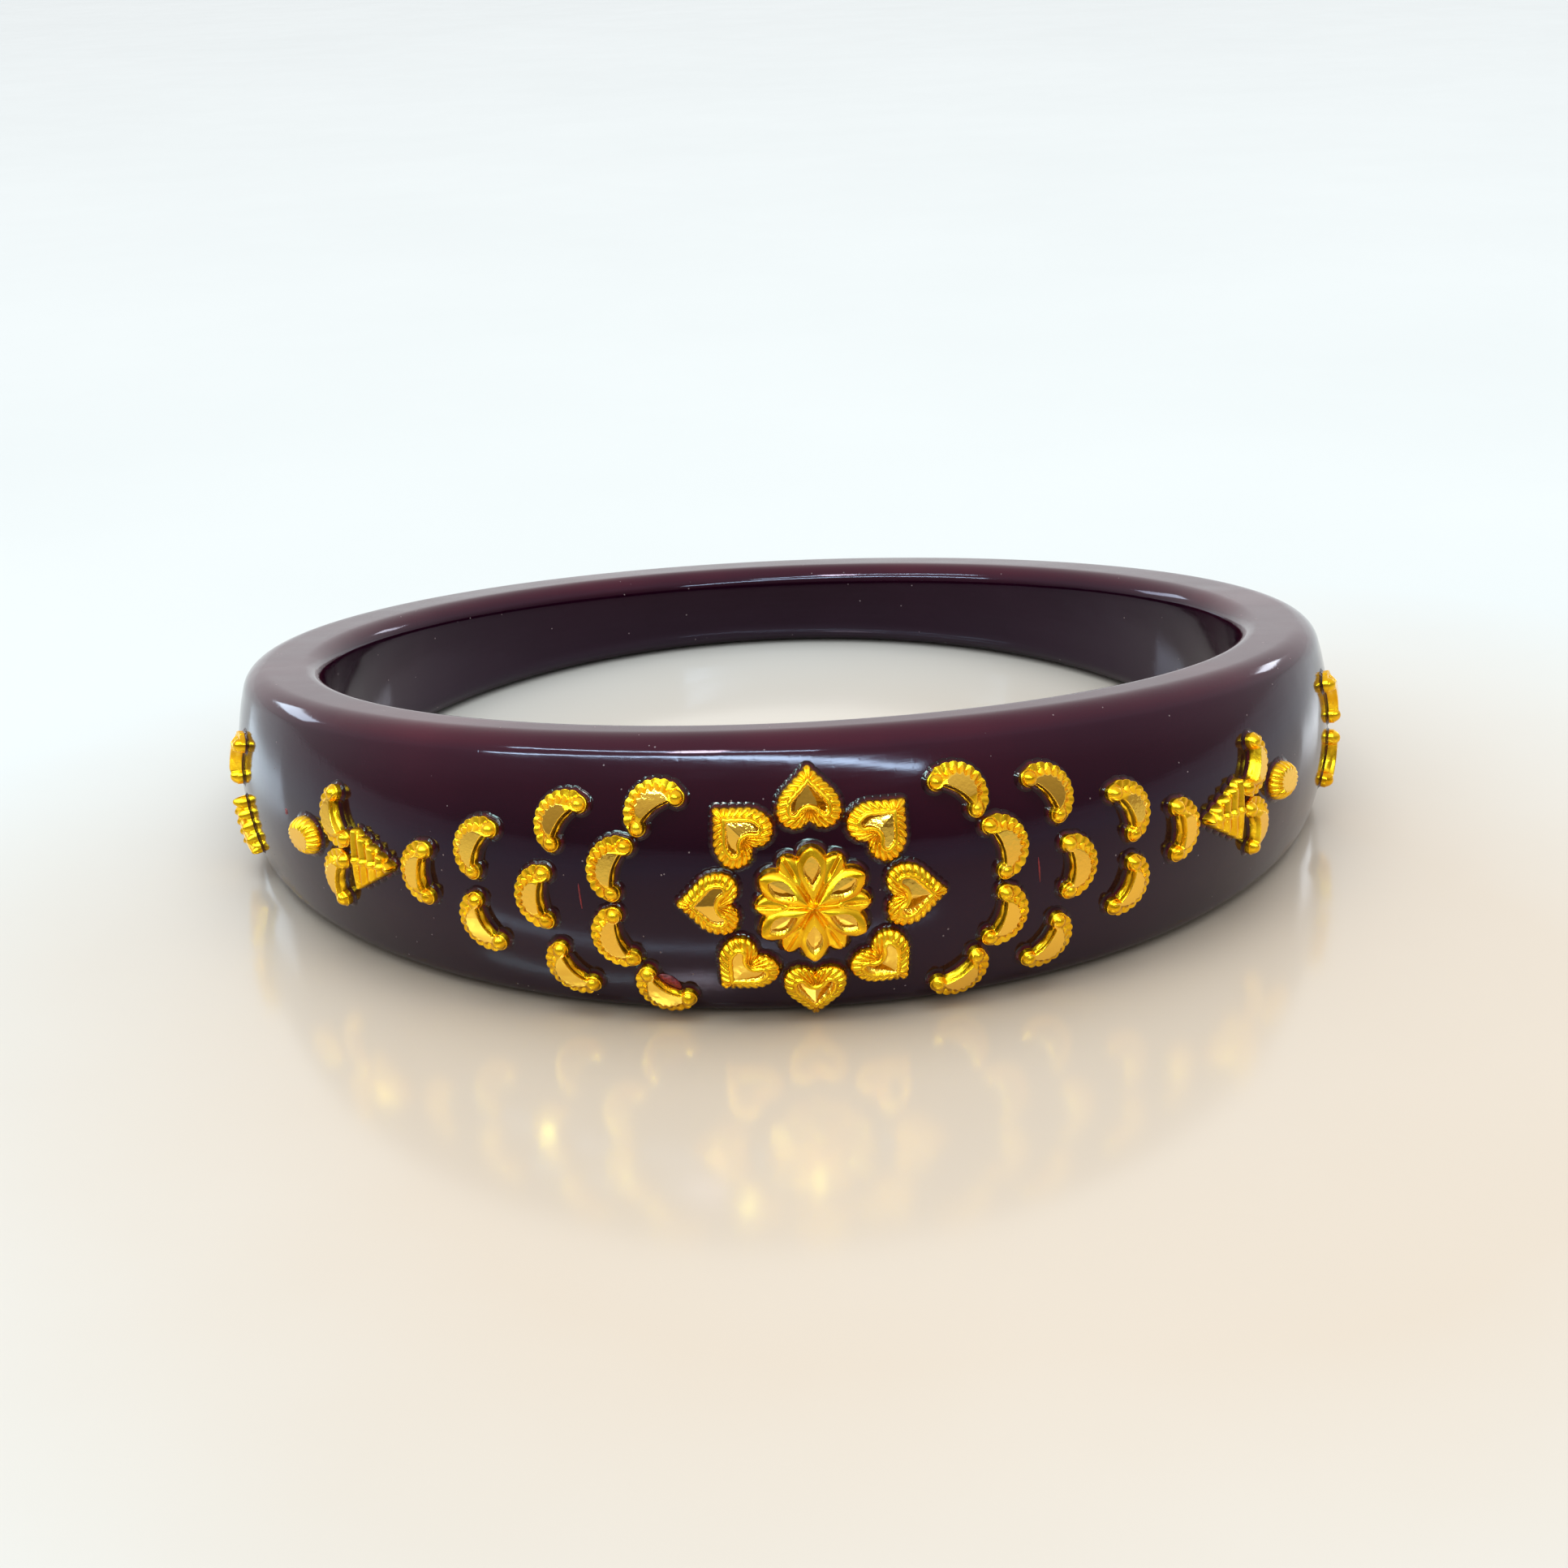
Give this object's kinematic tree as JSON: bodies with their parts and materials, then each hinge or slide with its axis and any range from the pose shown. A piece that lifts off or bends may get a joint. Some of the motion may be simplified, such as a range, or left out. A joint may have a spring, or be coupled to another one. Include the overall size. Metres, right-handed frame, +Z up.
{
  "type": "bangle bracelet",
  "caption": "Closed graduated bangle in dark glossy resin, tall in front and low behind, with a gold flower, hearts, crescents, leaves and ovals bedded in its domed outside.",
  "frame": {"origin": "centre of the bounding box on the flat underside the bangle lies on", "axes": "+Z up out of the surface it lies on, -Y towards the front with the flower, +X to the right seen from the front"},
  "size_m": [0.0716, 0.0724, 0.0161],
  "materials": {
    "resin": "polished, very dark aubergine resin",
    "gold": "bright stamped high-carat gold with diamond-cut facets",
    "adhesive": "dark maroon glossy adhesive"
  },
  "bodies": {
    "root": {"arrow_crescent_left_lower": "gold", "arrow_crescent_left_upper": "gold", "arrow_crescent_right_lower": "gold", "arrow_crescent_right_upper": "gold", "bed_arrows": "adhesive", "bed_crescents": "adhesive", "bed_flower": "adhesive", "bed_hearts": "adhesive", "bed_ovals": "adhesive", "bed_sides": "adhesive", "crescent_left_1_1": "gold", "crescent_left_1_2": "gold", "crescent_left_1_3": "gold", "crescent_left_1_4": "gold", "crescent_left_2_1": "gold", "crescent_left_2_2": "gold", "crescent_left_2_3": "gold", "crescent_left_3_1": "gold", "crescent_left_3_2": "gold", "crescent_left_4_1": "gold", "crescent_right_1_1": "gold", "crescent_right_1_2": "gold", "crescent_right_1_3": "gold", "crescent_right_1_4": "gold", "crescent_right_2_1": "gold", "crescent_right_2_2": "gold", "crescent_right_2_3": "gold", "crescent_right_3_1": "gold", "crescent_right_3_2": "gold", "crescent_right_4_1": "gold", "flower": "gold", "heart_1": "gold", "heart_2": "gold", "heart_3": "gold", "heart_4": "gold", "heart_5": "gold", "heart_6": "gold", "heart_7": "gold", "heart_8": "gold", "leaf_left": "gold", "leaf_right": "gold", "oval_left": "gold", "oval_right": "gold", "ring": "resin", "side_crescent_left_upper": "gold", "side_crescent_right_lower": "gold", "side_crescent_right_upper": "gold", "side_leaf_left": "gold"}
  },
  "joints": []
}
